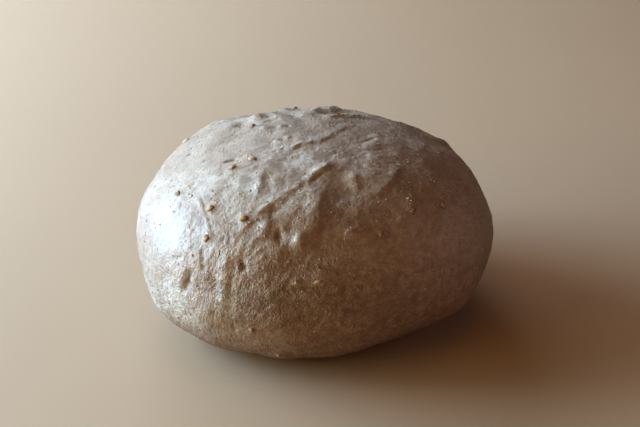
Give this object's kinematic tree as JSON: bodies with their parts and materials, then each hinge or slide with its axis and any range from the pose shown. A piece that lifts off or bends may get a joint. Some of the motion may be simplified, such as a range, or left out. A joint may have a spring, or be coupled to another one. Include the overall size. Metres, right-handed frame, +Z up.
{
  "type": "dark bread dough ball",
  "caption": "Round ball of unbaked dark wholemeal bread dough with whole grains in its lumpy skin, resting on a flat foot.",
  "frame": {"origin": "the middle of the ball's footprint, on the surface that it rests on", "axes": "+Z up, +X to the right as seen from the front, and the front faces -Y"},
  "size_m": [0.1601, 0.1496, 0.0834],
  "materials": {
    "dough": "moist, faintly glossy skin with bran specks and a trace of flour"
  },
  "bodies": {
    "root": {"dough": "dough"}
  },
  "joints": []
}
